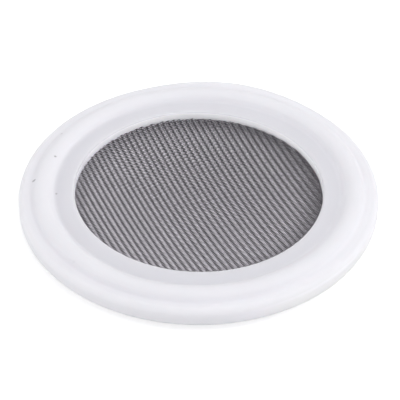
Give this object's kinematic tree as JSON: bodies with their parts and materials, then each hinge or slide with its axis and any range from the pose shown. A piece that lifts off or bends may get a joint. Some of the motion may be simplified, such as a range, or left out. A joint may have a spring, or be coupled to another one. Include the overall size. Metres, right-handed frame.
{
  "type": "sanitary screen gasket",
  "caption": "Round white silicone gasket with a bead on both faces and a woven steel wire screen moulded across its bore, which seals a sanitary pipe joint and strains its flow.",
  "frame": {"origin": "centre of the ring, on its middle plane", "axes": "+Z along the ring's axis, out of the face that the screen's hollow opens to; X and Y in the middle plane"},
  "size_m": [0.0506, 0.0506, 0.0044],
  "materials": {
    "silicone": "white moulded silicone, satin",
    "screen_wire": "woven stainless steel wire, dull grey"
  },
  "bodies": {
    "root": {"gasket_ring": "silicone", "screen_mesh": "screen_wire"}
  },
  "joints": []
}
